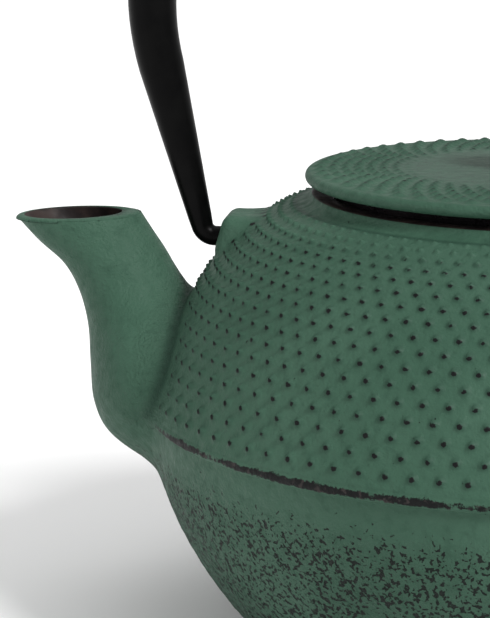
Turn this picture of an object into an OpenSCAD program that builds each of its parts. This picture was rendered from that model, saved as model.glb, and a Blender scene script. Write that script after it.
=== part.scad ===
// Cast iron teapot: a hollow casting with a spout and two handle lugs, a bail handle that
// folds down to either side, a lift-off lid with a riveted knob, and a stainless infuser.
// Millimetres. +Z is up, the base stands on z = 0, the pot's axis is the Z axis and the
// spout points towards -X.

/* [Body] */
// Radius of the upper half where it meets the belly ridge
belly_r = 83.4; // [82:0.2:84]
// Height of the belly ridge above the table
belly_z = 50; // [48:0.5:52]
// How far the ridge stands out of the lower bowl
ridge_proud = 1.2; // [0.6:0.1:1.6]
// Height of the ridge
ridge_h = 2.4; // [1.6:0.2:3.2]
// Height from the ridge to where the shoulder curve would close on the axis
dome_rise = 46.4; // [45.8:0.1:47]
// Wall thickness of the casting
wall = 3.6; // [3:0.1:4.2]
// Outer radius of the foot ring
foot_r = 56; // [52:1:58]
// Height of the foot ring
foot_h = 2.5; // [1.5:0.5:3.5]

/* [Mouth] */
// Outer radius of the collar's top edge
collar_r = 47.8; // [47:0.1:48.2]
// Height of the collar's top edge above the ridge
collar_z = 43.8; // [43.4:0.1:44.2]
// Radius of the recess that the lid and the infuser drop into
seat_r = 44; // [43.8:0.1:44.4]
// Depth of that recess
seat_depth = 2.6; // [2.2:0.1:3]
// Radius of the neck below the recess
neck_r = 39.5; // [39.2:0.1:40]

/* [Spout] */
// Half width of the spout's root, along Y
spout_root_w = 29.5; // [26:0.5:31]
// Half width of the spout's mouth, along Y
spout_mouth_w = 9.9; // [9:0.1:11]
// Thickness of the spout's wall at its mouth
lip_wall = 1.8; // [1.5:0.1:2.4]

/* [Handle] */
// Height of the handle's pins above the ridge
pin_z = 33; // [32.6:0.1:33.4]
// Radius of the handle's pins
pin_r = 2.1; // [1.9:0.05:2.2]
// Running clearance around each pin
pin_gap = 0.1; // [0.05:0.05:0.15]
// Height of the arch's centre line above the ridge
arch_z = 137; // [132:1:142]
// Radius of the handle at the top of the arch
arch_r = 6.2; // [5.6:0.1:6.6]

/* [Lid] */
// Largest radius of the lid
lid_r = 49.3; // [49:0.1:49.8]
// Thickness of the lid's plate
lid_t = 2.5; // [2.2:0.1:3]
// Radius of the knob
knob_r = 9.2; // [8.5:0.1:9.4]
// Height of the knob above the lid
knob_h = 13; // [11:0.5:14]

/* [Infuser] */
// Outer radius of the infuser's basket
basket_r = 38.1; // [37.8:0.1:38.3]
// Depth of the basket below the seat
basket_depth = 46; // [42:1:47]

/* [Hidden] */
$fn = 96;

// Heights above the table that several parts share
collar_top = belly_z + collar_z;
seat_z = collar_top - seat_depth;
pin_height = belly_z + pin_z;

// The lower bowl narrows with the square of the depth below the ridge
bowl_r = belly_r - ridge_proud - 0.2;
bowl_fall = 0.0094;
bowl_steps = 14;

// The shoulder is a superellipse that starts steep and rolls over towards the collar
dome_power = 1.06;
dome_root = 0.22;
dome_steps = 16;
dome_end = 41.6;
floor_t = 4.5;
neck_t = 2.8;

function bowl_at(z, inset) = bowl_r - inset - bowl_fall * pow(belly_z - z, 2);
function dome_at(h, r, rise) = r * pow(1 - pow(h / rise, dome_power), dome_root);

// Spout: each station is [back x, back z, front x, front z, half width, wall] in the XZ plane,
// with z counted from the ridge
spout_stations = [
    [-60.0, 18.0, -72.0, -19.0, 0.96 * spout_root_w, 4.5],
    [-66.0, 19.0, -82.0, -15.0, spout_root_w, 4.5],
    [-70.5, 19.4, -90.6, -9.0, 0.97 * spout_root_w, 4.3],
    [-73.0, 20.0, -94.8, -2.2, 0.88 * spout_root_w, 4.0],
    [-74.8, 21.2, -96.1, 6.0, 0.73 * spout_root_w, 3.6],
    [-76.0, 23.2, -97.0, 14.0, 0.55 * spout_root_w, 3.2],
    [-77.7, 26.2, -99.2, 21.0, 0.43 * spout_root_w, 2.9],
    [-79.7, 29.8, -102.6, 26.8, 0.38 * spout_root_w, 2.6],
    [-82.3, 33.8, -107.0, 31.8, 0.355 * spout_root_w, 2.2],
    [-84.9, 37.9, -111.8, 36.9, spout_mouth_w, lip_wall]
];
spout_sides = 28;
channel_start = 2;

// One elliptical ring of the spout, shrunk by the wall where it is the channel
function spout_ring(s, shrink) =
    let (cx = (s[0] + s[2]) / 2, cz = (s[1] + s[3]) / 2,
         hx = (s[0] - s[2]) / 2, hz = (s[1] - s[3]) / 2,
         k = 1 - shrink * s[5] / norm([hx, hz]))
    [for (i = [0:spout_sides - 1])
        let (a = 360 * i / spout_sides)
        [cx + k * hx * cos(a), (shrink * s[5] - s[4]) * sin(a), belly_z + cz + k * hz * cos(a)]];

// Handle: a hook that bends up out of the lug, a straight arm and a cubic arch
lug_face = 67.2;
pin_tip = 62.2;
bore_end = 61.6;
arm_lean = 14.7;
hook_r = 4.2;
hook_x = 68.6;
arm_top = [80.4, 69];
arm_top_r = 4.8;
arm_foot_r = 2.4;
arch_reach = 38;
arch_flat = 62;
handle_sides = 20;

// Centre line of one side: [x, height above the ridge, radius]
hook_centre = [hook_x, pin_z + hook_r];
hook_line = [for (a = [0:15:90 - arm_lean])
    [hook_centre[0] + hook_r * sin(a), hook_centre[1] - hook_r * cos(a),
     pin_r + (arm_foot_r - pin_r) * a / 90]];
arm_line = [for (t = [0.12, 0.4, 0.7])
    let (foot = [hook_x + hook_r * cos(arm_lean), pin_z + hook_r - hook_r * sin(arm_lean)])
    [foot[0] + (arm_top[0] - foot[0]) * t, foot[1] + (arm_top[1] - foot[1]) * t,
     arm_foot_r + (arm_top_r - arm_foot_r) * t]];
function bezier(p, t) = pow(1 - t, 3) * p[0] + 3 * t * pow(1 - t, 2) * p[1]
    + 3 * t * t * (1 - t) * p[2] + pow(t, 3) * p[3];
arch_line = [for (t = [0:0.1:1])
    [bezier([arm_top[0], arm_top[0] + arch_reach * sin(arm_lean), arch_flat, 0], t),
     bezier([arm_top[1], arm_top[1] + arch_reach * cos(arm_lean), arch_z, arch_z], t),
     arm_top_r + (arch_r - arm_top_r) * sin(90 * t)]];
half_line = concat(hook_line, arm_line, arch_line);
last = len(half_line) - 1;
full_line = concat([for (p = half_line) [-p[0], p[1], p[2]]],
                   [for (i = [last - 1:-1:0]) half_line[i]]);

// Direction of the centre line at point i, in the XZ plane
function heading(line, i) =
    let (a = line[max(i - 1, 0)], b = line[min(i + 1, len(line) - 1)],
         d = [b[0] - a[0], b[1] - a[1]])
    i == 0 ? [-1, 0] : i == len(line) - 1 ? [-1, 0] : d / norm(d);
function handle_ring(i) =
    let (p = full_line[i], d = heading(full_line, i))
    [for (k = [0:handle_sides - 1])
        let (a = 360 * k / handle_sides)
        [p[0] - d[1] * p[2] * cos(a), p[2] * sin(a), belly_z + p[1] + d[0] * p[2] * cos(a)]];

// Closed solid through a list of rings that all have the same number of points
module loft(rings) {
    n = len(rings[0]);
    m = len(rings);
    sides = [for (j = [0:m - 2], i = [0:n - 1], half = [0, 1])
        let (a = j * n + i, b = j * n + (i + 1) % n)
        half == 0 ? [a, b, b + n] : [a, b + n, a + n]];
    start = [[for (i = [n - 1:-1:0]) i]];
    finish = [[for (i = [0:n - 1]) (m - 1) * n + i]];
    polyhedron(points = [for (ring = rings, p = ring) p], faces = concat(start, sides, finish));
}

// Outside of the casting: foot, bowl, ridge, shoulder and collar
module body_outside() {
    foot_z = foot_h + 1;
    ridge_low = belly_z - ridge_h / 2;
    ridge_high = belly_z + ridge_h / 2;
    bowl = [for (i = [0:bowl_steps])
        let (z = foot_z + (ridge_low - foot_z) * i / bowl_steps) [bowl_at(z, 0), z]];
    dome = [for (i = [0:dome_steps])
        let (h = ridge_h / 2 + (dome_end - ridge_h / 2) * (1 - pow(1 - i / dome_steps, 1.4)))
        [dome_at(h, belly_r, dome_rise), belly_z + h]];
    rotate_extrude()
        polygon(concat(
            [[0, 1.2], [foot_r - 5, 1.2], [foot_r - 4.4, 0], [foot_r, 0], [foot_r + 0.4, foot_h]],
            bowl,
            [[belly_r - 0.1, ridge_low], [belly_r, belly_z]],
            dome,
            [[collar_r + 1.3, collar_top - 1.3], [collar_r + 0.3, collar_top - 0.5],
             [collar_r - 0.2, collar_top], [0, collar_top]]));
}

// Hollow of the casting, with the neck and the recess of the mouth
module body_inside() {
    bowl = [for (i = [0:bowl_steps])
        let (z = floor_t + 1 + (belly_z - floor_t - 1) * i / bowl_steps)
        [bowl_at(z, wall), z]];
    ceiling = seat_z - belly_z - neck_t;
    dome = [for (i = [1:dome_steps])
        let (h = ceiling * (1 - pow(1 - i / dome_steps, 1.4)))
        [dome_at(h, bowl_r - wall, dome_rise - 4.4), belly_z + h]];
    rotate_extrude()
        polygon(concat(
            [[0, floor_t], [bowl[0][0] - 4, floor_t]], bowl, dome,
            [[neck_r, belly_z + ceiling], [neck_r, seat_z], [seat_r, seat_z],
             [seat_r, collar_top + 1], [0, collar_top + 1]]));
}

// Lug that holds one end of the handle, half sunk in the shoulder
module lug() {
    corner = 2.6;
    hull()
        for (side = [-1, 1]) {
            translate([-lug_face + corner + 0.4, side * 4.4, pin_height + 5.3 - corner])
                sphere(r = corner, $fn = 24);
            translate([-lug_face + corner - 0.4, side * 4.6, pin_height - 1.6])
                sphere(r = corner, $fn = 24);
            translate([-60, side * 5.4, pin_height + 4.6 - corner]) sphere(r = corner, $fn = 24);
            translate([-60, side * 5.4, pin_height - 2]) sphere(r = corner, $fn = 24);
        }
}

// Blind hole for one of the handle's pins, along X
module lug_bore() {
    translate([-bore_end, 0, pin_height]) rotate([0, -90, 0])
        cylinder(r = pin_r + pin_gap, h = 12);
}

// The channel runs on past the mouth, straight up
module spout_channel() {
    stations = [for (i = [channel_start:len(spout_stations) - 1]) spout_stations[i]];
    rings = [for (s = stations) spout_ring(s, 1)];
    above_mouth = [for (p = rings[len(rings) - 1]) p + [-0.6, 0, 3]];
    loft(concat(rings, [above_mouth]));
}

// Round hole through the pot's wall into the root of the spout
module spout_port() {
    port_r = 11;
    outer_end = 87;
    inner_end = 62;
    translate([-outer_end, 0, belly_z + 5]) rotate([0, 90, 0])
        cylinder(r = port_r, h = outer_end - inner_end);
}

module spout_outside() {
    loft([for (s = spout_stations) spout_ring(s, 0)]);
}

// Everything hollowed out of the casting
module hollows() {
    body_inside();
    spout_port();
    spout_channel();
    lug_bore();
    mirror([1, 0, 0]) lug_bore();
}

// The casting is one piece of iron. It is modelled as three nodes that meet face to face, the
// spout at the shoulder's surface and the collar at the seat, so that each collides as it is.
module above_seat() {
    translate([0, 0, seat_z]) cylinder(r = belly_r, h = collar_top - seat_z + 1);
}

module pot_body() {
    color("#46604f")
        difference() {
            union() {
                body_outside();
                lug();
                mirror([1, 0, 0]) lug();
            }
            hollows();
            above_seat();
        }
}

module pot_spout() {
    color("#46604f")
        difference() {
            spout_outside();
            body_outside();
            spout_port();
            spout_channel();
        }
}

module pot_collar() {
    color("#46604f")
        intersection() {
            difference() {
                body_outside();
                body_inside();
            }
            above_seat();
        }
}

// Lid: a plate with a rounded edge and a ring below that drops into the mouth
lid_bottom = belly_z + 45.9;
lid_top = lid_bottom + lid_t;
rim_t = 0.8;
shank_r = 2.5;
module lid() {
    ring_out = seat_r - 0.8;
    ring_in = neck_r + 0.4;
    crown = 0.6;
    edge = lid_t / 2;
    color("#46604f")
        difference() {
            union() {
                rotate_extrude()
                    polygon([[0, lid_bottom], [ring_in, lid_bottom], [ring_in, seat_z + rim_t],
                             [ring_out, seat_z + rim_t], [ring_out, lid_bottom],
                             [lid_r - edge, lid_bottom], [lid_r - edge, lid_top],
                             [0.6 * lid_r, lid_top + 0.6 * crown], [0.25 * lid_r, lid_top + crown],
                             [0, lid_top + crown]]);
                rotate_extrude() translate([lid_r - edge, lid_bottom + edge]) circle(r = edge, $fn = 32);
            }
            translate([0, 0, lid_bottom - 1]) cylinder(r = shank_r + 0.05, h = lid_t + 4);
        }
}

// Knob with a shank that passes through the lid and is riveted over the washer
module lid_knob() {
    base = lid_top + 0.6;
    top = base + knob_h - 0.6;
    head = 3.4;
    washer_t = 1;
    color("#46604f")
        union() {
            rotate_extrude()
                polygon([[0, base], [6.4, base], [5.2, base + 1.6], [4.9, base + 4], [5.6, base + 5.4],
                         [knob_r - head, top - 2 * head], [knob_r - head, top - 0.2], [0, top]]);
            rotate_extrude() translate([knob_r - head, top - head]) circle(r = head, $fn = 48);
            translate([0, 0, lid_bottom - washer_t - 1]) cylinder(r = shank_r, h = lid_t + 6);
            translate([0, 0, lid_bottom - washer_t - 1.2]) cylinder(r = 4, h = 1.2);
        }
}

module knob_washer() {
    color("silver")
        translate([0, 0, lid_bottom - 1])
            difference() {
                cylinder(r = 7, h = 1);
                translate([0, 0, -1]) cylinder(r = shank_r + 0.05, h = 3);
            }
}

module handle_pin() {
    translate([-pin_tip, 0, pin_height]) rotate([0, -90, 0])
        cylinder(r = pin_r, h = hook_x - pin_tip + 0.6);
}

module handle() {
    color("#202020")
        union() {
            loft([for (i = [0:len(full_line) - 1]) handle_ring(i)]);
            handle_pin();
            mirror([1, 0, 0]) handle_pin();
        }
}

// Infuser: a turned rim, a tube of woven mesh and a pressed bottom
sheet_t = 0.5;
mesh_t = 0.6;
mesh_top = seat_z - 5;
mesh_low = seat_z - basket_depth + sheet_t;
module infuser_collar() {
    color("silver")
        rotate_extrude()
            polygon([[basket_r, seat_z - 8], [basket_r + sheet_t, seat_z - 8],
                     [basket_r + sheet_t, seat_z], [seat_r - 0.6, seat_z],
                     [seat_r - 0.6, seat_z + rim_t], [basket_r, seat_z + rim_t]]);
}

module infuser_mesh() {
    color("gainsboro")
        translate([0, 0, mesh_low])
            difference() {
                cylinder(r = basket_r, h = mesh_top - mesh_low);
                translate([0, 0, -1]) cylinder(r = basket_r - mesh_t, h = mesh_top - mesh_low + 2);
            }
}

module infuser_base() {
    lip = 3;
    color("silver")
        translate([0, 0, mesh_low - sheet_t])
            difference() {
                cylinder(r = basket_r + sheet_t, h = sheet_t + lip);
                translate([0, 0, sheet_t]) cylinder(r = basket_r, h = lip + 1);
            }
}

pot_body();
pot_spout();
pot_collar();
lid();
lid_knob();
knob_washer();
handle();
infuser_collar();
infuser_mesh();
infuser_base();
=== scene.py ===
# Cast iron teapot: the visible model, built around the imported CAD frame.
# The frame is in metres, +Z up, with the spout towards -X.
import math

import bmesh
import bpy
import numpy as np
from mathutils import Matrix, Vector, noise
from mathutils.bvhtree import BVHTree


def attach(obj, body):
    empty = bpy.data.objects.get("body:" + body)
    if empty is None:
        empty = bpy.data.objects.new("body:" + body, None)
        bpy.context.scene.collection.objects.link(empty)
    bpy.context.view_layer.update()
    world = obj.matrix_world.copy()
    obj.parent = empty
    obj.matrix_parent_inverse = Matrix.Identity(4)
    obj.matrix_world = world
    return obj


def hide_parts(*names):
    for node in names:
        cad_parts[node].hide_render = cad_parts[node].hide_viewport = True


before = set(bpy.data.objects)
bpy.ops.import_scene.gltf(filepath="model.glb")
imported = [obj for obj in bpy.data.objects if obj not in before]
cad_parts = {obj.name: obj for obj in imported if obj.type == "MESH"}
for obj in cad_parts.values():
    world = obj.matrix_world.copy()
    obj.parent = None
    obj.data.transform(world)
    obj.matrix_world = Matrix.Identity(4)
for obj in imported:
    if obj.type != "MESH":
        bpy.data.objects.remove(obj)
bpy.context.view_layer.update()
MM = 0.001

# ---------------------------------------------------------------------------------------------
# Dimensions in millimetres. They follow the CAD model, apart from three places fitted more closely
# here: the front of the spout's stations 3 to 7 (counted from 0), its back lip, and the handle's
# foot and arm.
# ---------------------------------------------------------------------------------------------
BELLY_Z = 50.0
BELLY_R = 83.4
RIDGE_PROUD = 1.2
RIDGE_H = 2.4
BOWL_R = BELLY_R - RIDGE_PROUD - 0.2
BOWL_FALL = 0.0094
DOME_RISE = 46.4
DOME_POWER = 1.06
DOME_ROOT = 0.22
DOME_END = 41.6
WALL = 3.6
FLOOR_T = 4.5
NECK_T = 2.8
COLLAR_R = 47.8
COLLAR_TOP = BELLY_Z + 43.8
SEAT_R = 44.0
SEAT_Z = COLLAR_TOP - 2.6
NECK_R = 39.5
FOOT_R = 56.0
FOOT_H = 2.5

SPOUT_W = 29.5
SPOUT_STATIONS = (  # back x, back z, front x, front z (z from the ridge), half width, wall
    (-60.0, 18.0, -72.0, -19.0, 0.96 * SPOUT_W, 4.5),
    (-66.0, 19.0, -82.0, -15.0, SPOUT_W, 4.5),
    (-70.5, 19.4, -90.6, -9.0, 0.97 * SPOUT_W, 4.3),
    (-73.0, 20.0, -94.2, -2.2, 0.88 * SPOUT_W, 4.0),
    (-74.8, 21.2, -95.2, 6.0, 0.73 * SPOUT_W, 3.6),
    (-76.0, 23.2, -96.0, 14.0, 0.55 * SPOUT_W, 3.2),
    (-77.7, 26.2, -98.0, 21.0, 0.43 * SPOUT_W, 2.9),
    (-79.7, 29.8, -101.3, 26.8, 0.38 * SPOUT_W, 2.6),
    (-82.3, 33.8, -107.0, 31.8, 0.355 * SPOUT_W, 2.2),
    (-84.9, 37.9, -111.8, 36.9, 9.9, 1.8),
)
CHANNEL_START = 2      # first station that the channel runs through
SPOUT_BACK_LIP = 2.2   # how much thicker the wall is at the back of the spout's tip
SPOUT_LIP = (          # rings that round the tip over: share of the wall inwards, drop from the top
    (0.0, 0.75), (0.08, 0.42), (0.25, 0.16), (0.5, 0.03), (0.75, 0.0),
)
PORT_R = 11.0
PORT_Z = BELLY_Z + 5

PIN_Z = BELLY_Z + 33.0
PIN_R = 2.1
LUG_FACE = 67.2

# Studs on the shoulder: rings that step half a pitch from one to the next
STUDS_ROUND = 100
STUD_PHASE = 0.676
STUD_ROWS = 17
STUD_FIRST_H = 3.84
STUD_PITCH = 3.48
STUD_PITCH_FALL = 0.0543
STUD_HEIGHT = 0.95

COLUMNS_PER_STUD = 10
ROWS_PER_STUD = 8
SPOUT_BLEND = 4.2
SPOUT_BLEND_TOP = 1.1
LUG_BLEND = 4.5
LUG_VOXEL = 0.45

REACH = 12.0           # how far distances to the spout and the lugs are measured
NO_WEAR = 9.0          # a distance at which the paint shows no wear
OFF_SHOULDER = -99.0   # arc length of points that carry no studs
PAINT_SLOT, ENAMEL_SLOT, CHANNEL_AND_SHADE_SLOT = 0, 1, 2


def smoothstep(lo, hi, x):
    t = np.clip((np.asarray(x, float) - lo) / (hi - lo), 0.0, 1.0)
    return t * t * (3.0 - 2.0 * t)


def bowl_at(z, inset=0.0):
    """Radius of the bowl at a height, below the ridge."""
    return BOWL_R - inset - BOWL_FALL * (BELLY_Z - z) ** 2


def dome_at(h, r=BELLY_R, rise=DOME_RISE):
    """Radius of the shoulder at a height above the ridge."""
    return r * (1.0 - (h / rise) ** DOME_POWER) ** DOME_ROOT


# ---------------------------------------------------------------------------------------------
# Mesh helpers
# ---------------------------------------------------------------------------------------------
def new_object(name, verts_mm, faces, smooth=True):
    mesh = bpy.data.meshes.new(name)
    mesh.from_pydata((np.asarray(verts_mm, float) * MM).tolist(), [], faces)
    mesh.update()
    if smooth:
        mesh.polygons.foreach_set("use_smooth", np.ones(len(mesh.polygons), bool))
    obj = bpy.data.objects.new(name, mesh)
    bpy.context.scene.collection.objects.link(obj)
    return obj


def positions(obj):
    co = np.empty(len(obj.data.vertices) * 3, np.float32)
    obj.data.vertices.foreach_get("co", co)
    return co.reshape(-1, 3).astype(float) / MM


def set_positions(obj, verts_mm):
    obj.data.vertices.foreach_set("co", (verts_mm * MM).astype(np.float32).ravel())
    obj.data.update()


def float_attribute(obj, name, values):
    attribute = obj.data.attributes.new(name, "FLOAT", "POINT")
    attribute.data.foreach_set("value", np.asarray(values, np.float32))


def ring_faces(rows, cols, closed_rows=False):
    """Quads of a grid that closes round its columns, and round its rows too where asked."""
    faces = []
    last = rows if closed_rows else rows - 1
    for j in range(last):
        a, b = j * cols, ((j + 1) % rows) * cols
        for i in range(cols):
            k = (i + 1) % cols
            faces.append((a + i, a + k, b + k, b + i))
    return faces


def end_caps(rows, cols, start=0):
    """The two faces that close the first and the last ring of a grid."""
    top = start + (rows - 1) * cols
    return [tuple(range(start + cols - 1, start - 1, -1)), tuple(range(top, top + cols))]


def revolve(name, profile, cols, phase=0.0):
    """Closed solid of revolution from (radius, height) points that run upwards."""
    angle = phase + np.arange(cols) * 2 * math.pi / cols
    r = np.array([p[0] for p in profile])[:, None]
    z = np.array([p[1] for p in profile])[:, None]
    verts = np.stack([r * np.cos(angle), r * np.sin(angle), z + 0 * angle], -1).reshape(-1, 3)
    faces = ring_faces(len(profile), cols)
    faces += end_caps(len(profile), cols)
    return new_object(name, verts, faces)


def rings_solid(name, rings):
    """Closed solid through rings that all have the same number of points."""
    n = len(rings[0])
    faces = ring_faces(len(rings), n) + end_caps(len(rings), n)
    obj = new_object(name, np.concatenate(rings), faces)
    outward(obj)
    return obj


def outward(obj):
    """Turns every face outwards."""
    bm = bmesh.new()
    bm.from_mesh(obj.data)
    bmesh.ops.recalc_face_normals(bm, faces=bm.faces)
    if bm.calc_volume(signed=True) < 0:
        bmesh.ops.reverse_faces(bm, faces=bm.faces)
    bm.to_mesh(obj.data)
    bm.free()


def material_of_faces(obj, slots, index):
    for slot in slots:
        obj.data.materials.append(slot)
    indices = np.full(len(obj.data.polygons), index, np.int32)
    obj.data.polygons.foreach_set("material_index", indices)


def applied(obj):
    """The object's mesh with its modifiers applied, as a new mesh."""
    graph = bpy.context.evaluated_depsgraph_get()
    return bpy.data.meshes.new_from_object(obj.evaluated_get(graph), depsgraph=graph)


def boolean(obj, other, operation):
    """Joins or cuts obj with other, which is used up."""
    modifier = obj.modifiers.new(operation.lower(), "BOOLEAN")
    modifier.operation = operation
    modifier.object = other
    modifier.solver = "MANIFOLD"
    modifier.material_mode = "INDEX"
    mesh = applied(obj)
    obj.modifiers.clear()
    old = obj.data
    obj.data = mesh
    bpy.data.meshes.remove(old)
    bpy.data.objects.remove(other)


def bvh_of(obj):
    return BVHTree.FromPolygons([v.co / MM for v in obj.data.vertices],
                                [tuple(p.vertices) for p in obj.data.polygons])


def distance_to(tree, points, reach):
    """Distance in millimetres to a surface, capped at reach."""
    out = np.full(len(points), reach)
    for i, p in enumerate(points):
        spot, _, _, distance = tree.find_nearest(Vector(p), reach)
        if spot is not None:
            out[i] = distance
    return out


def catmull(points, per_span):
    """Smooth curve through the points, as rows of the same columns."""
    p = np.asarray(points, float)
    p = np.vstack([2 * p[0] - p[1], p, 2 * p[-1] - p[-2]])
    rows = []
    for i in range(1, len(p) - 2):
        for k in range(per_span):
            t = k / per_span
            rows.append(0.5 * (2 * p[i] + (p[i + 1] - p[i - 1]) * t
                               + (2 * p[i - 1] - 5 * p[i] + 4 * p[i + 1] - p[i + 2]) * t * t
                               + (3 * p[i] - p[i - 1] - 3 * p[i + 1] + p[i + 2]) * t ** 3))
    rows.append(p[-2])
    return np.array(rows)


def cast_noise(points, scale, octaves=3):
    """Fractal noise at each point, about -1 to 1."""
    return np.array([noise.fractal(Vector(p) / scale, 1.0, 2.0, octaves) for p in points])


# ---------------------------------------------------------------------------------------------
# Materials
# ---------------------------------------------------------------------------------------------
class Shader:
    """A small layer over a node tree, so that each material reads as a list of steps."""

    def __init__(self, name):
        self.material = bpy.data.materials.new(name)
        self.material.use_nodes = True
        self.tree = self.material.node_tree
        self.bsdf = self.tree.nodes["Principled BSDF"]
        self.coords = self.add("ShaderNodeTexCoord").outputs["Object"]

    def add(self, kind, **settings):
        node = self.tree.nodes.new(kind)
        for key, value in settings.items():
            setattr(node, key, value)
        return node

    def feed(self, socket, value):
        if isinstance(value, bpy.types.NodeSocket):
            self.tree.links.new(value, socket)
        else:
            socket.default_value = value

    def noise(self, per_metre, detail=4.0, roughness=0.55, distortion=0.0):
        node = self.add("ShaderNodeTexNoise")
        self.feed(node.inputs["Vector"], self.coords)
        for key, value in (("Scale", per_metre), ("Detail", detail),
                           ("Roughness", roughness), ("Distortion", distortion)):
            node.inputs[key].default_value = value
        return node.outputs["Fac"]

    def attribute(self, name):
        return self.add("ShaderNodeAttribute", attribute_name=name).outputs["Fac"]

    def wander(self, per_metre, detail, amount, roughness=0.55):
        """Noise centred on zero, to move a worn edge about."""
        centred = self.math("SUBTRACT", self.noise(per_metre, detail, roughness), 0.5)
        return self.math("MULTIPLY", centred, amount)

    def math(self, operation, a, b=0.0):
        node = self.add("ShaderNodeMath", operation=operation)
        self.feed(node.inputs[0], a)
        self.feed(node.inputs[1], b)
        return node.outputs[0]

    def ramp(self, value, lo, hi, out_lo=0.0, out_hi=1.0):
        node = self.add("ShaderNodeMapRange", interpolation_type="SMOOTHSTEP")
        for i, v in enumerate((value, lo, hi, out_lo, out_hi)):
            self.feed(node.inputs[i], v)
        return node.outputs[0]

    def mix(self, factor, a, b):
        node = self.add("ShaderNodeMix", data_type="RGBA")
        self.feed(node.inputs["Factor"], factor)
        self.feed(node.inputs["A"], a)
        self.feed(node.inputs["B"], b)
        return node.outputs["Result"]

    def bump(self, height, strength, distance_mm, normal=None):
        node = self.add("ShaderNodeBump")
        self.feed(node.inputs["Height"], height)
        node.inputs["Strength"].default_value = strength
        node.inputs["Distance"].default_value = distance_mm * MM
        if normal is not None:
            self.feed(node.inputs["Normal"], normal)
        return node.outputs[0]

    def finish(self, colour, roughness, normal=None, metallic=0.0, specular=0.5):
        self.feed(self.bsdf.inputs["Base Color"], colour)
        self.feed(self.bsdf.inputs["Roughness"], roughness)
        self.bsdf.inputs["Metallic"].default_value = metallic
        self.bsdf.inputs["Specular IOR Level"].default_value = specular
        if normal is not None:
            self.feed(self.bsdf.inputs["Normal"], normal)
        return self.material


# Linear colours
GREEN = (0.0298, 0.0750, 0.0484, 1)
GREEN_LIGHT = (0.0405, 0.0925, 0.0615, 1)
GREEN_DARK = (0.0150, 0.0420, 0.0275, 1)
RUBBED_GREEN = (0.0560, 0.0870, 0.0690, 1)
BARE_IRON = (0.0022, 0.0026, 0.0027, 1)
WORN_BROWN = (0.0260, 0.0215, 0.0205, 1)
ENAMEL_DARK = (0.010, 0.009, 0.010, 1)
ENAMEL_LIGHT = (0.022, 0.019, 0.020, 1)
CHANNEL_DARK = (0.009, 0.006, 0.006, 1)
CHANNEL_LIGHT = (0.026, 0.017, 0.015, 1)
LACQUER_DARK = (0.0008, 0.0008, 0.0009, 1)
LACQUER_LIGHT = (0.0018, 0.0018, 0.0018, 1)
LACQUER_RUBBED = (0.018, 0.017, 0.017, 1)


def painted_iron(name):
    """Matt green paint over rough iron, worn dark on the stud tips, the ridge and the low bowl,
    with shade painted round the studs and into the corners.

    It reads the masks that set_masks writes: distances in millimetres, and shares from 0 to 1.
    """
    s = Shader(name)
    broad = s.noise(28, 3)
    fine = s.noise(420, 5)
    colour = s.mix(s.ramp(broad, 0.35, 0.68), GREEN, GREEN_LIGHT)
    colour = s.mix(s.ramp(fine, 0.50, 0.74, 0.0, 0.32), colour, GREEN_DARK)
    rub = s.math("MULTIPLY", s.attribute("rubbed"), s.ramp(s.noise(420, 6, 0.7), 0.30, 0.72))
    colour = s.mix(rub, colour, RUBBED_GREEN)

    # stud tips: painted shade in a dark halo round each stud, then bare iron with a ragged edge
    ragged = s.wander(900, 4, 0.9)
    tip_edge = s.math("ADD", s.attribute("stud_distance"), ragged)
    painted_stud_shade = s.ramp(s.attribute("stud_distance"), 0.35, 1.6, 0.62, 0.0)
    colour = s.mix(painted_stud_shade, colour, GREEN_DARK)
    tip = s.ramp(tip_edge, 0.46, 0.62, 1.0, 0.0)
    colour = s.mix(tip, colour, BARE_IRON)

    # the ridge: a worn line of uneven thickness, broken by cracks
    thickness = s.wander(75, 3, 1.5)
    cracks = s.wander(800, 6, 2.4, 0.75)
    wear_noise = s.math("ADD", thickness, cracks)
    ridge_edge = s.math("ADD", s.attribute("ridge_distance"), wear_noise)
    ridge = s.ramp(ridge_edge, 0.50, 0.74, 1.0, 0.0)
    ridge_colour = s.mix(s.ramp(s.noise(700, 5), 0.52, 0.64), BARE_IRON, WORN_BROWN)
    colour = s.mix(ridge, colour, ridge_colour)

    # pits, crowded where the iron is rough, and painted shade in the corners
    crowd = s.math("MULTIPLY", s.attribute("rough"), 0.215)
    pits = s.ramp(s.math("ADD", s.noise(1050, 2, 0.5, 0.4), crowd), 0.755, 0.790)
    colour = s.mix(s.math("MULTIPLY", pits, 0.92), colour, BARE_IRON)
    seam = s.ramp(s.attribute("seam_distance"), 0.1, 1.1, 0.80, 0.0)
    colour = s.mix(seam, colour, GREEN_DARK)

    ripple = s.bump(s.noise(330, 3, 0.5), 0.85, 0.60)
    orange_peel = s.math("MULTIPLY", s.noise(1500, 3, 0.6), s.attribute("peel"))
    grain = s.bump(orange_peel, 1.0, 0.75, ripple)
    cast = s.bump(s.math("MULTIPLY", pits, -1.0), 0.9, 0.4, grain)
    return s.finish(colour, s.ramp(fine, 0.3, 0.7, 0.48, 0.64), cast, specular=0.16)


def enamel(name):
    """Glossy black enamel with a faint orange-peel surface."""
    s = Shader(name)
    colour = s.mix(s.ramp(s.noise(60, 3), 0.4, 0.7), ENAMEL_DARK, ENAMEL_LIGHT)
    peel = s.bump(s.noise(380, 3), 0.25, 0.12)
    return s.finish(colour, s.ramp(s.noise(150, 3), 0.35, 0.7, 0.16, 0.30), peel)


def channel_skin_and_gap_shade(name):
    """Dull dark brown of the spout's inside, where the enamel thins; on the collar's top edge the
    same brown is painted shade for the gap under the lid.
    """
    s = Shader(name)
    colour = s.mix(s.ramp(s.noise(240, 4), 0.4, 0.65), CHANNEL_DARK, CHANNEL_LIGHT)
    roughness = s.ramp(s.noise(300, 3), 0.35, 0.7, 0.52, 0.68)
    return s.finish(colour, roughness, s.bump(s.noise(700, 3), 0.3, 0.2), specular=0.18)


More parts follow.
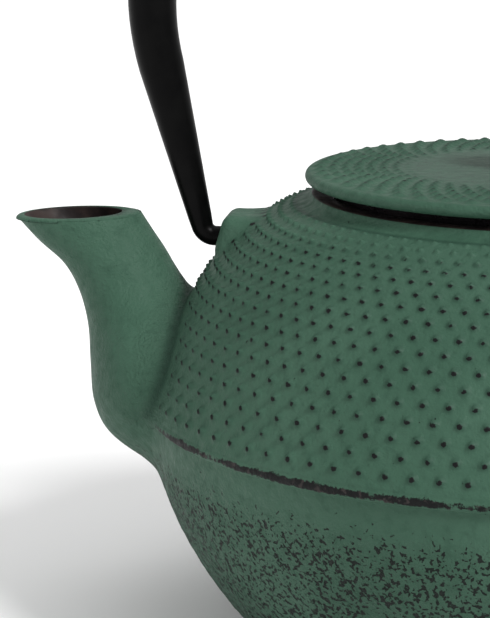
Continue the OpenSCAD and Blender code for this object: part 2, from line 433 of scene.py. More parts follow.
def satin_black(name):
    """Black lacquered steel, a little mottled, with rare rubbed spots."""
    s = Shader(name)
    colour = s.mix(s.ramp(s.noise(180, 4), 0.38, 0.7), LACQUER_DARK, LACQUER_LIGHT)
    rub = s.ramp(s.noise(700, 4), 0.72, 0.78, 0.0, 0.5)
    colour = s.mix(rub, colour, LACQUER_RUBBED)
    skin = s.bump(s.noise(1300, 3), 0.14, 0.06)
    roughness = s.ramp(s.noise(240, 3), 0.35, 0.7, 0.30, 0.40)
    return s.finish(colour, roughness, skin, specular=0.06)


def brushed_steel(name, stretch=(60, 60, 2600), shade=0.62):
    """Stainless steel with fine lines; stretch is the noise's scale along X, Y and Z."""
    s = Shader(name)
    mapping = s.add("ShaderNodeMapping")
    s.feed(mapping.inputs["Vector"], s.coords)
    mapping.inputs["Scale"].default_value = stretch
    lines = s.add("ShaderNodeTexNoise")
    s.feed(lines.inputs["Vector"], mapping.outputs[0])
    lines.inputs["Scale"].default_value = 1.0
    lines.inputs["Detail"].default_value = 3.0
    fac = lines.outputs["Fac"]
    dark, light = shade * 0.82, shade * 1.08
    warm = 0.98
    colour = s.mix(fac, (dark, dark, dark * warm, 1), (light, light, light * warm, 1))
    roughness = s.ramp(fac, 0.3, 0.7, 0.22, 0.36)
    return s.finish(colour, roughness, s.bump(fac, 0.12, 0.04), metallic=1.0)


PAINT = painted_iron("painted_iron_look")
ENAMEL = enamel("black_enamel_look")
CHANNEL_AND_SHADE = channel_skin_and_gap_shade("spout_channel_and_gap_shade_look")
BLACK = satin_black("black_steel_look")
STEEL = brushed_steel("stainless_look")
WIRE = brushed_steel("wire_look", (900, 900, 900), 0.55)


# ---------------------------------------------------------------------------------------------
# Pot body
# ---------------------------------------------------------------------------------------------
def arc_samples(profile):
    """Length along a line of points, at each point."""
    seg = np.hypot(np.diff(profile[:, 0]), np.diff(profile[:, 1]))
    return np.concatenate([[0], np.cumsum(seg)])


def shoulder_profile():
    """(arc length, radius, z) finely along the shoulder, from the ridge to the collar's foot."""
    h = np.concatenate([np.linspace(0.0, 30, 600, endpoint=False), np.linspace(30, DOME_END, 700)])
    points = np.stack([dome_at(h), BELLY_Z + h], 1)
    return arc_samples(points), points[:, 0], points[:, 1]


def stud_arcs(arc, z):
    """Arc length of each ring of studs."""
    first = np.interp(BELLY_Z + STUD_FIRST_H, z, arc)
    i = np.arange(STUD_ROWS)
    return first + STUD_PITCH * i - STUD_PITCH_FALL * i * (i - 1) / 2


def outside_rows():
    """Rows of the casting's outside, upwards: (radius, z, arc length from the ridge or None)."""
    arc, r, z = shoulder_profile()
    rows_at = stud_arcs(arc, z)
    last = arc[-1] - 0.4
    edges = np.concatenate([[rows_at[0] - 1.75], (rows_at[1:] + rows_at[:-1]) / 2, [last]])
    stops = list(np.arange(1.4, edges[0], 0.45))
    half = ROWS_PER_STUD // 2
    for lo, mid, hi in zip(edges[:-1], rows_at, edges[1:]):
        stops += list(np.linspace(lo, mid, half, endpoint=False))
        stops += list(np.linspace(mid, hi, half, endpoint=False))
    stops.append(last)
    shoulder = [(np.interp(s, arc, r), np.interp(s, arc, z), s) for s in stops]

    foot = [(2.0, 1.2), (FOOT_R - 30, 1.2), (FOOT_R - 5, 1.2), (FOOT_R - 4.6, 0.5),
            (FOOT_R - 4.0, 0.0), (FOOT_R - 0.6, 0.0), (FOOT_R - 0.1, 0.5), (FOOT_R + 0.4, FOOT_H)]
    bowl_z = np.arange(FOOT_H + 1.2, BELLY_Z - RIDGE_H / 2 - 0.1, 0.6)
    bowl = [(bowl_at(v), v) for v in bowl_z]
    low = BELLY_Z - RIDGE_H / 2
    ridge = [(bowl_at(low) + 0.05, low), (BELLY_R - 0.45, low + 0.12),
             (BELLY_R - 0.08, low + 0.45), (BELLY_R, BELLY_Z - 0.3), (BELLY_R, BELLY_Z + 0.35),
             (BELLY_R - 0.12, BELLY_Z + 0.8), (BELLY_R - 0.45, BELLY_Z + 1.15)]
    start = np.array(shoulder[-1][:2])
    bend = np.array((COLLAR_R + 1.0, start[1] + 0.5))
    end = np.array((COLLAR_R + 0.3, COLLAR_TOP - 0.55))
    collar = [tuple((1 - k) ** 2 * start + 2 * k * (1 - k) * bend + k * k * end)
              for k in np.linspace(0.08, 1.0, 9)]
    collar += [(COLLAR_R + 0.05, COLLAR_TOP - 0.2), (COLLAR_R - 0.3, COLLAR_TOP),
               (COLLAR_R - 2.0, COLLAR_TOP), (6.0, COLLAR_TOP)]
    below = [(*p, None) for p in foot + bowl + ridge]
    return below + shoulder + [(*p, None) for p in collar]


def stud_field(points, arc_of_point):
    """Distance along the surface to the nearest stud's centre, and that ring's pitch."""
    arc, _, z = shoulder_profile()
    rows = stud_arcs(arc, z)
    radius = np.hypot(points[:, 0], points[:, 1])
    angle = np.arctan2(-points[:, 1], -points[:, 0])
    step = 2 * math.pi / STUDS_ROUND
    best = np.full(len(points), NO_WEAR)
    pitch = np.full(len(points), 5.0)
    for i, centre in enumerate(rows):
        near = np.abs(arc_of_point - centre) < 2.4
        shift = STUD_PHASE + 0.5 * step * (i % 2)
        turn = (angle[near] - shift + 0.5 * step) % step - 0.5 * step
        d = np.hypot(turn * radius[near], arc_of_point[near] - centre)
        closer = d < best[near]
        index = np.flatnonzero(near)[closer]
        best[index] = d[closer]
        pitch[index] = radius[index] * step
    return best, pitch


def shoulder_arc_at(points):
    """Arc length of each point on the shoulder, OFF_SHOULDER elsewhere."""
    arc, _, z = shoulder_profile()
    on_shoulder = (points[:, 2] > BELLY_Z + 1.3) & (points[:, 2] < BELLY_Z + DOME_END)
    return np.where(on_shoulder, np.interp(points[:, 2], z, arc), OFF_SHOULDER)


def spout_ring(station, shrink, sides):
    """Oval ring of the spout at a station, moved inwards by a share of its wall."""
    back_x, back_z, front_x, front_z, width, wall = station
    cx, cz = (back_x + front_x) / 2, (back_z + front_z) / 2
    hx, hz = (back_x - front_x) / 2, (back_z - front_z) / 2
    k = 1 - shrink * wall / math.hypot(hx, hz)
    a = np.arange(sides) * 2 * math.pi / sides
    return np.stack([cx + k * hx * np.cos(a), (shrink * wall - width) * np.sin(a),
                     BELLY_Z + cz + k * hz * np.cos(a)], 1)


def spout_solid(sides=120, per_span=14):
    fine = catmull(SPOUT_STATIONS, per_span)
    rings = [spout_ring(s, 0, sides) for s in fine[:-1]]
    for shrink, drop in SPOUT_LIP:
        rings.append(spout_ring(fine[-1], shrink, sides) - np.array([0, 0, drop]))
    return rings_solid("spout_outside", rings)


def channel_solid(sides=72, per_span=10):
    """The spout's inside, which leaves the back lip thicker and runs on a little past the tip."""
    fine = catmull(SPOUT_STATIONS[CHANNEL_START:], per_span)
    fine[:, 0] -= SPOUT_BACK_LIP * smoothstep(0.72, 1.0, np.linspace(0, 1, len(fine)))
    rings = [spout_ring(s, 1, sides) for s in fine]
    rings.append(rings[-1] + np.array([-0.6, 0, 3.0]))
    return rings_solid("spout_channel", rings)


def lug_solid(mirror):
    """Rounded block that holds a pin: a hull of eight balls, made finely."""
    corner = 2.6
    balls = []
    for side in (-1, 1):
        balls += [(-LUG_FACE + corner + 0.4, side * 4.4, PIN_Z + 5.3 - corner),
                  (-LUG_FACE + corner - 0.4, side * 4.6, PIN_Z - 1.6),
                  (-60, side * 5.4, PIN_Z + 4.6 - corner), (-60, side * 5.4, PIN_Z - 2)]
    bm = bmesh.new()
    for x, y, z in balls:
        for polar in np.linspace(0, math.pi, 17):
            across = corner * math.sin(polar)
            for turn in np.arange(24) * 2 * math.pi / 24:
                bm.verts.new((x + across * math.cos(turn), y + across * math.sin(turn),
                              z + corner * math.cos(polar)))
    bmesh.ops.remove_doubles(bm, verts=bm.verts, dist=0.01)
    bmesh.ops.convex_hull(bm, input=bm.verts)
    loose = [v for v in bm.verts if not v.link_faces]
    bmesh.ops.delete(bm, geom=loose, context="VERTS")
    if mirror:
        for v in bm.verts:
            v.co.x = -v.co.x
    bmesh.ops.recalc_face_normals(bm, faces=bm.faces)
    verts = [tuple(v.co) for v in bm.verts]
    faces = [tuple(v.index for v in f.verts) for f in bm.faces]
    bm.free()
    obj = new_object("lug", verts, faces)
    remesh = obj.modifiers.new("even", "REMESH")
    remesh.mode = "VOXEL"
    remesh.voxel_size = LUG_VOXEL * MM
    remesh.use_smooth_shade = True
    obj.data = applied(obj)
    obj.modifiers.clear()
    outward(obj)
    return obj


def body_distance(points):
    """Roughly the signed distance to the plain casting, without studs."""
    r = np.hypot(points[:, 0], points[:, 1])
    z = points[:, 2]
    h = np.clip(z - BELLY_Z, 0.0, DOME_END)
    upper = z > BELLY_Z
    step = 0.1
    surface = np.where(upper, dome_at(h), bowl_at(z))
    ahead = np.where(upper, dome_at(np.clip(h + step, 0, DOME_END + 0.05)), bowl_at(z + step))
    slope = (ahead - surface) / step
    return (r - surface) / np.sqrt(1 + slope ** 2)


def fillet_offset(away, blend):
    """How far a surface lifts where another one is that far away, to fill their corner."""
    return 0.25 * blend * np.clip(1 - np.maximum(away, 0.0) / blend, 0, 1) ** 2


def vertex_normals(obj):
    out = np.empty(len(obj.data.vertices) * 3, np.float32)
    obj.data.vertices.foreach_get("normal", out)
    return out.reshape(-1, 3).astype(float)


def spout_blend_at(z):
    """The fillet is tight at the crease on top and broad under the spout."""
    low = 1 - smoothstep(BELLY_Z - 4, BELLY_Z + 9, z)
    return SPOUT_BLEND_TOP + (SPOUT_BLEND - SPOUT_BLEND_TOP) * low


def spout_distance(points, tree, top=84):
    """Distance to the spout before it was joined on, REACH where it is not near."""
    x, y, z = points.T
    near = (x < -30) & (np.abs(y) < 46) & (z > 18) & (z < top)
    out = np.full(len(points), REACH)
    out[near] = distance_to(tree, points[near], REACH)
    return out


def lug_distance(points, trees):
    """Distance to the nearer lug before it was joined on, REACH where none is near."""
    x, y, z = points.T
    out = np.full(len(points), REACH)
    for tree, side in zip(trees, (-1, 1)):
        near = (x * side > 40) & (np.abs(y) < 22) & (z > 66) & (z < 96)
        out[near] = np.minimum(out[near], distance_to(tree, points[near], REACH))
    return out


def lift_beside_body(part, blend_at):
    """Lifts the spout or a lug near the casting, where blend_at gives the fillet at a height."""
    points, normal = positions(part), vertex_normals(part)
    away = body_distance(points)
    reached = smoothstep(-6.0, -2.5, away)
    lift = fillet_offset(away, blend_at(points[:, 2])) * reached
    set_positions(part, points + normal * lift[:, None])


def relax_join(obj, near, rounds):
    """Evens out the vertices beside a join, so that it shades as one casting."""
    bm = bmesh.new()
    bm.from_mesh(obj.data)
    bm.verts.ensure_lookup_table()
    chosen = [bm.verts[i] for i in np.flatnonzero(near)]
    for _ in range(rounds):
        bmesh.ops.smooth_vert(bm, verts=chosen, factor=0.5,
                              use_axis_x=True, use_axis_y=True, use_axis_z=True)
    bm.to_mesh(obj.data)
    bm.free()


def surface_relief(points, arc_here, to_spout, to_lug):
    """How far the outside stands proud at each point: studs, the rough low bowl and the fillets."""
    z = points[:, 2]
    distance, pitch = stud_field(points, arc_here)
    t = np.clip(distance / (0.285 * pitch), 0, 1)
    height = STUD_HEIGHT * (0.5 + 0.5 * np.cos(math.pi * t)) ** 1.25
    fade = smoothstep(2.0, 6.5, to_spout) * smoothstep(1.0, 4.0, to_lug)
    last_rows = 1.0 - 0.55 * smoothstep(BELLY_Z + 39.6, BELLY_Z + 41.2, z)
    height = height * fade * last_rows * (pitch / 5.2) ** 0.35

    rough = 1 - smoothstep(BELLY_Z - 13, BELLY_Z - 4, z)
    lump = np.zeros(len(points))
    low = z < BELLY_Z - 3
    lump[low] = cast_noise(points[low], 2.6, 3) * 0.16 * (0.25 + 0.75 * rough[low])
    lump[z < FOOT_H + 0.6] = 0

    lift = np.maximum(fillet_offset(to_spout, spout_blend_at(z)),
                      fillet_offset(to_lug, LUG_BLEND))
    return height + lump + lift


def relax_joins(shell, spout_tree, lug_trees):
    """Evens out the casting beside the spout and lugs, more under the spout than at its crease."""
    points = positions(shell)
    from_body = np.abs(body_distance(points))
    crease = np.maximum(from_body, spout_distance(points, spout_tree))
    below = points[:, 2] < BELLY_Z + 6
    relax_join(shell, (crease < 4.0) & below, 10)
    relax_join(shell, (crease < 1.6) & ~below, 2)
    relax_join(shell, np.maximum(from_body, lug_distance(points, lug_trees)) < 2.2, 6)


def make_pot_shell():
    slots = (PAINT, ENAMEL, CHANNEL_AND_SHADE)
    rows = outside_rows()
    cols = STUDS_ROUND * COLUMNS_PER_STUD
    shell = revolve("pot_shell", [(r, z) for r, z, _ in rows], cols, math.pi + STUD_PHASE)
    spout = spout_solid()
    lugs = [lug_solid(False), lug_solid(True)]
    spout_tree = bvh_of(spout)
    lug_trees = [bvh_of(lug) for lug in lugs]

    points, normal = positions(shell), vertex_normals(shell)
    arc_here = np.repeat([OFF_SHOULDER if arc is None else arc for _, _, arc in rows], cols)
    relief = surface_relief(points, arc_here, spout_distance(points, spout_tree),
                            lug_distance(points, lug_trees))
    set_positions(shell, points + normal * relief[:, None])
    lift_beside_body(spout, spout_blend_at)
    for lug in lugs:
        lift_beside_body(lug, lambda z: LUG_BLEND)

    for part in [shell, spout] + lugs:
        material_of_faces(part, slots, PAINT_SLOT)
    for part in [spout] + lugs:
        boolean(shell, part, "UNION")
    relax_joins(shell, spout_tree, lug_trees)

    for cutter in inside_cutters():
        slot = CHANNEL_AND_SHADE_SLOT if cutter.name == "spout_channel" else ENAMEL_SLOT
        material_of_faces(cutter, slots, slot)
        boolean(shell, cutter, "DIFFERENCE")
    # Painted shade: the collar's top ring takes the dull dark brown, to stand for the shade in the
    # gap under the lid.
    for face in shell.data.polygons:
        x, y, z = face.center / MM
        if z > COLLAR_TOP - 0.15 and math.hypot(x, y) < COLLAR_R:
            face.material_index = CHANNEL_AND_SHADE_SLOT
    shade_pot(shell, spout_tree)
    return shell


def inside_cutters():
    """The hollow, the spout's channel and port, and the two pin bores."""
    z = np.linspace(FLOOR_T + 1, BELLY_Z, 40)
    bowl = [(bowl_at(v, WALL), v) for v in z]
    ceiling = SEAT_Z - BELLY_Z - NECK_T
    dome = [(dome_at(h, BOWL_R - WALL, DOME_RISE - 4.4), BELLY_Z + h)
            for h in (ceiling * (1 - (1 - i / 48) ** 1.4) for i in range(1, 49))]
    neck = [(NECK_R, BELLY_Z + ceiling), (NECK_R, SEAT_Z - 0.3), (NECK_R + 0.3, SEAT_Z),
            (SEAT_R - 0.3, SEAT_Z), (SEAT_R, SEAT_Z + 0.3), (SEAT_R, COLLAR_TOP - 0.4),
            (SEAT_R + 0.4, COLLAR_TOP), (SEAT_R + 0.4, COLLAR_TOP + 1)]
    floor = [(2.0, FLOOR_T), (bowl[0][0] - 4, FLOOR_T)]
    hollow = revolve("hollow", floor + bowl + dome + neck, 240)
    port = tube_solid("port", (-87.0, 0, PORT_Z), (-62.0, 0, PORT_Z), PORT_R, 72)
    bores = [tube_solid("bore", (side * 61.6, 0, PIN_Z), (side * 73.6, 0, PIN_Z), PIN_R + 0.1, 48)
             for side in (-1, 1)]
    return [hollow, port, channel_solid()] + bores


def tube_solid(name, start, end, radius, sides):
    """Round bar along X."""
    start, end = np.array(start, float), np.array(end, float)
    a = np.arange(sides) * 2 * math.pi / sides
    ring = np.stack([0 * a, radius * np.cos(a), radius * np.sin(a)], 1)
    return rings_solid(name, [start + ring, end + ring])


def set_masks(obj, **masks):
    """Writes the masks that painted_iron reads; one number stands for the whole piece."""
    count = len(obj.data.vertices)
    for name, values in masks.items():
        float_attribute(obj, name, np.broadcast_to(values, count))


def shade_pot(obj, spout_tree):
    """Says where the pot's paint is worn, pitted, rough or shaded."""
    points = positions(obj)
    x, y, z = points.T
    radius = np.hypot(x, y)
    above_ridge = z - BELLY_Z
    to_spout = spout_distance(points, spout_tree, 92)
    from_body = body_distance(points)

    # the smooth spout and lugs have no stud tips, and the top rings are painted over
    stud, _ = stud_field(points, shoulder_arc_at(points))
    stud = np.where(to_spout < 4.0, NO_WEAR, stud)
    on_lug = (np.abs(x) > 60.5) & (np.abs(y) < 8.5) & (z > PIN_Z - 5)
    stud[on_lug] = NO_WEAR
    painted_over = smoothstep(BELLY_Z + 38.6, BELLY_Z + 39.8, z)

    # the ridge's line starts thin beside the spout, and is on the outside only
    azimuth = np.degrees(np.arctan2(np.abs(y), -x))
    beside_spout = (3.0 * (1 - smoothstep(20.0, 25.0, azimuth))
                    + 0.25 * (1 - smoothstep(25.0, 40.0, azimuth)))
    height_off = np.abs(above_ridge + 0.05)
    inside_pot = 4.0 * (radius < BELLY_R - 3.0)

    # rough iron low on the bowl and under the spout
    low = 1 - smoothstep(BELLY_Z - 13, BELLY_Z - 3, z)
    chin = (1 - smoothstep(3.0, 16.0, above_ridge)) * smoothstep(85.0, 93.0, -x)
    from_crease = np.maximum(np.abs(from_body), to_spout)
    beside_crease = 1 - smoothstep(4.0, 10.0, from_crease)
    on_spout = (to_spout < 0.8) & (from_body > 1.0)
    peel = np.maximum(0.20 + 0.25 * on_spout, beside_crease * (z > BELLY_Z - 2))

    # painted shade in the corners, at the collar's foot and beside the spout
    collar_foot = np.hypot(radius - 51.2, above_ridge - DOME_END + 0.3)
    crease = np.where(z > BELLY_Z - 1, 0.45 * from_crease, NO_WEAR)

    set_masks(obj,
              stud_distance=stud + painted_over,
              ridge_distance=height_off + beside_spout + inside_pot,
              rough=np.maximum(low, 0.55 * chin),
              peel=np.maximum(peel, 0.85 * low),
              rubbed=0.0,
              seam_distance=np.minimum(collar_foot, crease))


# ---------------------------------------------------------------------------------------------
# Lid, knob, handle and infuser
# ---------------------------------------------------------------------------------------------
LID_R = 49.3
LID_T = 2.5
LID_BOTTOM = BELLY_Z + 45.9
LID_TOP = LID_BOTTOM + LID_T
LID_CROWN = 0.6
LID_STUDS = 54
LID_FIRST_ROW = 46.0
LID_ROWS = 8
LID_ROW_PITCH = 2.6
LID_STUD_HEIGHT = 0.74
COLUMNS_PER_LID_STUD = 12
SHANK_R = 2.5
KNOB_R = 9.2
KNOB_HEIGHT = 12.4
KNOB_HEAD = 3.4        # radius of the head's rounded rim


def lid_stud_field(r, angle):
    """Distance to the nearest stud's centre on the lid, and that ring's pitch."""
    step = 2 * math.pi / LID_STUDS
    best = np.full(len(r), NO_WEAR)
    local = np.full(len(r), 4.0)
    for i in range(LID_ROWS):
        centre = LID_FIRST_ROW - LID_ROW_PITCH * i
        turn = (angle - 0.5 * step * (i % 2) + 0.5 * step) % step - 0.5 * step
        d = np.hypot(turn * r, r - centre)
        closer = d < best
        best = np.where(closer, d, best)
        local = np.where(closer, centre * step, local)
    return best, local


def half_round(centre_r, centre_z, radius, lo, hi, count):
    """Points round a rim, from one angle in degrees to another."""
    return [(centre_r + radius * math.cos(a), centre_z + radius * math.sin(a))
            for a in np.radians(np.linspace(lo, hi, count))]


def make_lid():
    """Flat lid with a locating ring below, a rounded rim and rings of low studs."""
    ring_out, ring_in = SEAT_R - 0.8, NECK_R + 0.4
    rim_top = SEAT_Z + 0.8
    edge = LID_T / 2
    profile = [(SHANK_R + 0.05, LID_BOTTOM), (ring_in - 0.4, LID_BOTTOM),
               (ring_in, LID_BOTTOM - 0.4), (ring_in, rim_top + 0.3),
               (ring_in + 0.3, rim_top), (ring_out - 0.3, rim_top),
               (ring_out, rim_top + 0.3), (ring_out, LID_BOTTOM - 0.3),
               (ring_out + 0.3, LID_BOTTOM), (LID_R - edge - 1.2, LID_BOTTOM)]
    profile += half_round(LID_R - edge, LID_BOTTOM + edge, edge, -88, 84, 22)
    top_r = np.arange(LID_R - edge - 0.35, SHANK_R + 0.2, -0.36)
    crown = LID_CROWN * smoothstep(LID_R - edge, 0.25 * LID_R, top_r)
    profile += [(r, LID_TOP + c) for r, c in zip(top_r, crown)]
    profile.append((SHANK_R + 0.05, LID_TOP + LID_CROWN))

    cols = LID_STUDS * COLUMNS_PER_LID_STUD
    r, z = (np.repeat(column, cols) for column in np.array(profile).T)
    a = np.tile(np.arange(cols) * 2 * math.pi / cols, len(profile))
    first_on_top = len(profile) - len(top_r) - 1
    on_top = np.repeat(np.arange(len(profile)) >= first_on_top, cols)
    distance, pitch = lid_stud_field(r, a)
    distance = np.where(on_top, distance, NO_WEAR)
    t = np.clip(distance / (0.40 * pitch), 0, 1)
    strength = smoothstep(24.0, 36.0, r)
    z = z + LID_STUD_HEIGHT * (0.5 + 0.5 * np.cos(math.pi * t)) ** 1.1 * strength
    verts = np.stack([r * np.cos(a), r * np.sin(a), z], 1)
    obj = new_object("lid_plate", verts, ring_faces(len(profile), cols, closed_rows=True))
    outward(obj)
    material_of_faces(obj, (PAINT, ENAMEL), PAINT_SLOT)
    # The lid's underside and ring take the black enamel, partly as the lid's own finish and partly
    # as painted shade for the gap under the lid.
    for face in obj.data.polygons:
        if face.center.z / MM < LID_BOTTOM + 0.03:
            face.material_index = ENAMEL_SLOT
    set_masks(obj,
              stud_distance=np.where(strength > 0.35, distance + 0.20, NO_WEAR),
              ridge_distance=NO_WEAR,
              seam_distance=NO_WEAR,
              rough=np.where(on_top, 0.25 * (1 - strength), 0.0),
              peel=0.25,
              rubbed=np.where(on_top, 1 - smoothstep(24.0, 38.0, r), 0.0))
    return obj


def make_knob():
    """Turned knob with a waist, a rounded head, and a shank riveted under the lid."""
    base = LID_TOP + 0.6
    top = base + KNOB_HEIGHT
    rivet_top = LID_BOTTOM - 1.0
    profile = [(0.05, LID_BOTTOM - 2.2), (3.4, LID_BOTTOM - 2.2), (3.9, LID_BOTTOM - 1.8),
               (4.0, rivet_top), (SHANK_R, rivet_top), (SHANK_R, base),
               (6.1, base), (6.4, base + 0.3)]
    stem = catmull([(6.4, base + 0.3), (5.3, base + 1.6), (4.9, base + 3.6), (5.6, base + 5.2),
                    (7.0, top - 2 * KNOB_HEAD + 0.3)], 8)
    profile += [tuple(p) for p in stem[1:]]
    profile += half_round(KNOB_R - KNOB_HEAD, top - KNOB_HEAD, KNOB_HEAD, -58, 88, 22)
    profile += [(r, top - 0.1 * (r / 5.8) ** 2) for r in (4.6, 3.2, 1.6, 0.05)]
    obj = revolve("knob", profile, 96)
    outward(obj)
    obj.data.materials.append(PAINT)
    x, y, z = positions(obj).T
    from_rim = np.hypot(np.hypot(x, y) - (KNOB_R - 0.9), z - (top - 0.9))
    set_masks(obj, stud_distance=NO_WEAR, ridge_distance=from_rim + 1.4, seam_distance=NO_WEAR,
              rough=0.1, peel=0.3, rubbed=0.0)
    return obj


# The handle's centre line on one side, as x and height above the ridge
HANDLE_LEAN = math.radians(14.7)
PIN_H = PIN_Z - BELLY_Z
PIN_INNER_X = 62.2
HOOK_X, HOOK_R = 68.6, 3.0
ARM_TOP = (80.0, 69.0)
ARCH_TOP = 137.0
HOOK_THICKER = 0.3
ARM_R, ARM_THICKER, ARCH_THICKER = 2.4, 2.4, 1.4


def handle_centre_line():
    """One side: (x, height above the ridge, radius) from the pin's tip to the top of the arch."""
    line = [(x, PIN_H, PIN_R) for x in (PIN_INNER_X, 63.2, 66.0)]
    for a in np.radians(np.linspace(0, 75.3, 12)):
        line.append((HOOK_X + HOOK_R * math.sin(a), PIN_H + HOOK_R - HOOK_R * math.cos(a),
                     PIN_R + HOOK_THICKER * a / 1.57))
    foot = np.array([HOOK_X + HOOK_R * math.cos(HANDLE_LEAN),
                     PIN_H + HOOK_R - HOOK_R * math.sin(HANDLE_LEAN)])
    top = np.array(ARM_TOP)
    for t in np.linspace(0.06, 0.94, 16):
        line.append((*(foot + (top - foot) * t), ARM_R + ARM_THICKER * t))
    along_arm = np.array([math.sin(HANDLE_LEAN), math.cos(HANDLE_LEAN)])
    p = np.array([top, top + 38 * along_arm, (62.0, ARCH_TOP), (0.0, ARCH_TOP)])
    for t in np.linspace(0, 1, 44):
        u = 1 - t
        q = u ** 3 * p[0] + 3 * t * u ** 2 * p[1] + 3 * t * t * u * p[2] + t ** 3 * p[3]
        line.append((*q, ARM_R + ARM_THICKER + ARCH_THICKER * math.sin(math.pi / 2 * t)))
    return line


def make_handle():
    """Round bar swept along the hook, the straight arm and the arch, on both sides."""
    half = handle_centre_line()
    line = np.array([(-x, h, r) for x, h, r in half] + half[-2::-1])
    sides = 48
    a = np.arange(sides) * 2 * math.pi / sides
    direction = np.gradient(line[:, :2], axis=0)
    direction /= np.linalg.norm(direction, axis=1)[:, None]
    rings = [np.stack([x - d[1] * r * np.cos(a), r * np.sin(a),
                       BELLY_Z + h + d[0] * r * np.cos(a)], 1)
             for (x, h, r), d in zip(line, direction)]
    obj = rings_solid("bail_handle", rings)
    obj.data.materials.append(BLACK)
    return obj


def make_infuser_weave():
    """Woven wire tube: upright wires and rings that pass over and under each other."""
    low, high = 45.7, 86.2
    mean_r, wave, wire = 37.80, 0.13, 0.16
    uprights, rings = 132, 22
    sides = 5
    around = np.arange(sides) * 2 * math.pi / sides
    verts, faces = [], []

    def sweep(path, closed):
        """Adds one wire along a path."""
        start = sum(len(v) for v in verts)
        n = len(path)
        if closed:
            tangent = np.roll(path, -1, 0) - np.roll(path, 1, 0)
        else:
            tangent = np.gradient(path, axis=0)
        tangent /= np.linalg.norm(tangent, axis=1)[:, None]
        out = path * np.array([1, 1, 0])
        out /= np.linalg.norm(out, axis=1)[:, None]
        side = np.cross(tangent, out)
        ring = (path[:, None, :] + wire * (np.cos(around)[None, :, None] * out[:, None, :]
                                           + np.sin(around)[None, :, None] * side[:, None, :]))
        verts.append(ring.reshape(-1, 3))
        faces.extend(tuple(start + k for k in f) for f in ring_faces(n, sides, closed_rows=closed))
        if not closed:
            faces.extend(end_caps(n, sides, start))

    z_lines = np.linspace(low + 0.9, high - 0.9, rings)
    pitch = z_lines[1] - z_lines[0]
    for i in range(uprights):
        angle = 2 * math.pi * i / uprights
        z = np.linspace(low + wire, high - wire, rings * 4)
        sign = 1 if i % 2 else -1
        r = mean_r + sign * wave * np.cos(math.pi * (z - z_lines[0]) / pitch)
        sweep(np.stack([r * math.cos(angle), r * math.sin(angle), z], 1), False)
    for j, z in enumerate(z_lines):
        angle = np.arange(uprights * 4) * 2 * math.pi / (uprights * 4)
        sign = 1 if j % 2 else -1
        r = mean_r + sign * wave * np.cos(angle * uprights / 2)
        sweep(np.stack([r * np.cos(angle), r * np.sin(angle), z + 0 * angle], 1), True)
    obj = new_object("infuser_weave", np.concatenate(verts), faces)
    outward(obj)
    obj.data.materials.append(WIRE)
    return obj


# ---------------------------------------------------------------------------------------------
# Pieces on the frame
# ---------------------------------------------------------------------------------------------
def place(obj, body, slot, *nodes):
    """Puts a visible piece on its body, in place of the CAD nodes it stands for."""
    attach(obj, body)
    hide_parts(*nodes)


place(make_pot_shell(), "pot", "painted_iron", "pot_body", "pot_spout", "pot_collar")
place(make_lid(), "lid", "painted_iron", "lid")
place(make_knob(), "lid", "painted_iron", "lid_knob")
place(make_handle(), "handle", "black_steel", "handle")
place(make_infuser_weave(), "infuser", "stainless_mesh", "infuser_mesh")
for node in ("knob_washer", "infuser_collar", "infuser_base"):
    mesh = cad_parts[node].data
    mesh.materials.clear()
    mesh.materials.append(STEEL)


# ---------------------------------------------------------------------------------------------
# Floor, light and camera
# ---------------------------------------------------------------------------------------------
FLOOR_HALF = 9000.0
FLOOR_DROP = 0.02      # the floor lies this far below the foot, so that the two don't share a plane


def make_floor():
    corners = [(x * FLOOR_HALF, y * FLOOR_HALF, -FLOOR_DROP)
               for x, y in ((-1, -1), (1, -1), (1, 1), (-1, 1))]
    floor = new_object("floor", corners, [(0, 1, 2, 3)], smooth=False)
    s = Shader("floor_look")
    colour = s.mix(s.noise(3, 2), (0.90, 0.90, 0.90, 1), (0.93, 0.93, 0.93, 1))
    floor.data.materials.append(s.finish(colour, 0.85, specular=0.2))


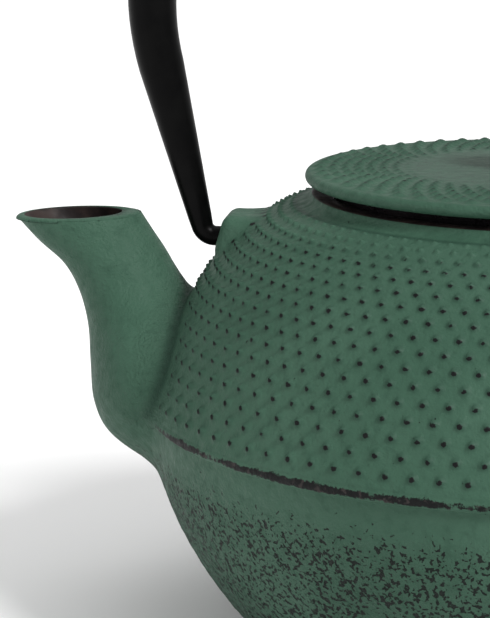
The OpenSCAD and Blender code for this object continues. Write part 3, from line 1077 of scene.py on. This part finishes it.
def lamp(name, kind, spot, target, energy):
    light = bpy.data.lights.new(name, kind)
    light.energy = energy
    obj = bpy.data.objects.new(name, light)
    obj.location = spot
    obj.rotation_mode = "QUATERNION"
    obj.rotation_quaternion = (Vector(target) - Vector(spot)).to_track_quat("-Z", "Y")
    bpy.context.scene.collection.objects.link(obj)
    return light


def soft_box(name, spot, size, watts):
    """A square lamp that faces the middle of the pot."""
    light = lamp(name, "AREA", spot, (0.0, 0.0, 0.07), watts)
    light.shape = "RECTANGLE"
    light.size = light.size_y = size


def soft_sun(name, source, watts_per_m2, spread_degrees):
    """A broad far lamp that lights the pot and the whole floor alike."""
    light = lamp(name, "SUN", source, (0.0, 0.0, 0.0), watts_per_m2)
    light.angle = math.radians(spread_degrees)


def make_world(strength):
    world = bpy.data.worlds.new("studio")
    world.use_nodes = True
    background = world.node_tree.nodes["Background"]
    background.inputs["Color"].default_value = (1.0, 1.0, 1.0, 1)
    background.inputs["Strength"].default_value = strength
    bpy.context.scene.world = world


CAMERA_SENSOR = 36.0
CAMERA_LENS = 132.93
CAMERA_SPOT = (0.0, -0.473312, 0.168694)
CAMERA_YAW = math.radians(-7.5)
CAMERA_PITCH = math.radians(12.001)


def make_camera():
    data = bpy.data.cameras.new("camera")
    data.sensor_width = CAMERA_SENSOR
    data.lens = CAMERA_LENS
    camera = bpy.data.objects.new("camera", data)
    camera.location = CAMERA_SPOT
    level = math.cos(CAMERA_PITCH)
    ahead = Vector((math.sin(CAMERA_YAW) * level, math.cos(CAMERA_YAW) * level,
                    -math.sin(CAMERA_PITCH)))
    camera.rotation_mode = "QUATERNION"
    camera.rotation_quaternion = ahead.to_track_quat("-Z", "Y")
    bpy.context.scene.collection.objects.link(camera)
    bpy.context.scene.camera = camera


# A plain tone curve, so that the paint shows at its own colour and the floor as near white
bpy.context.scene.view_settings.view_transform = "Standard"
make_floor()
soft_sun("key", (0.82, -0.58, 0.80), 3.2, 18.0)
soft_box("fill", (-0.9, -0.7, 0.45), 0.7, 2.0)
soft_box("top", (0.0, 0.15, 1.2), 0.9, 3.0)
make_world(0.60)
make_camera()
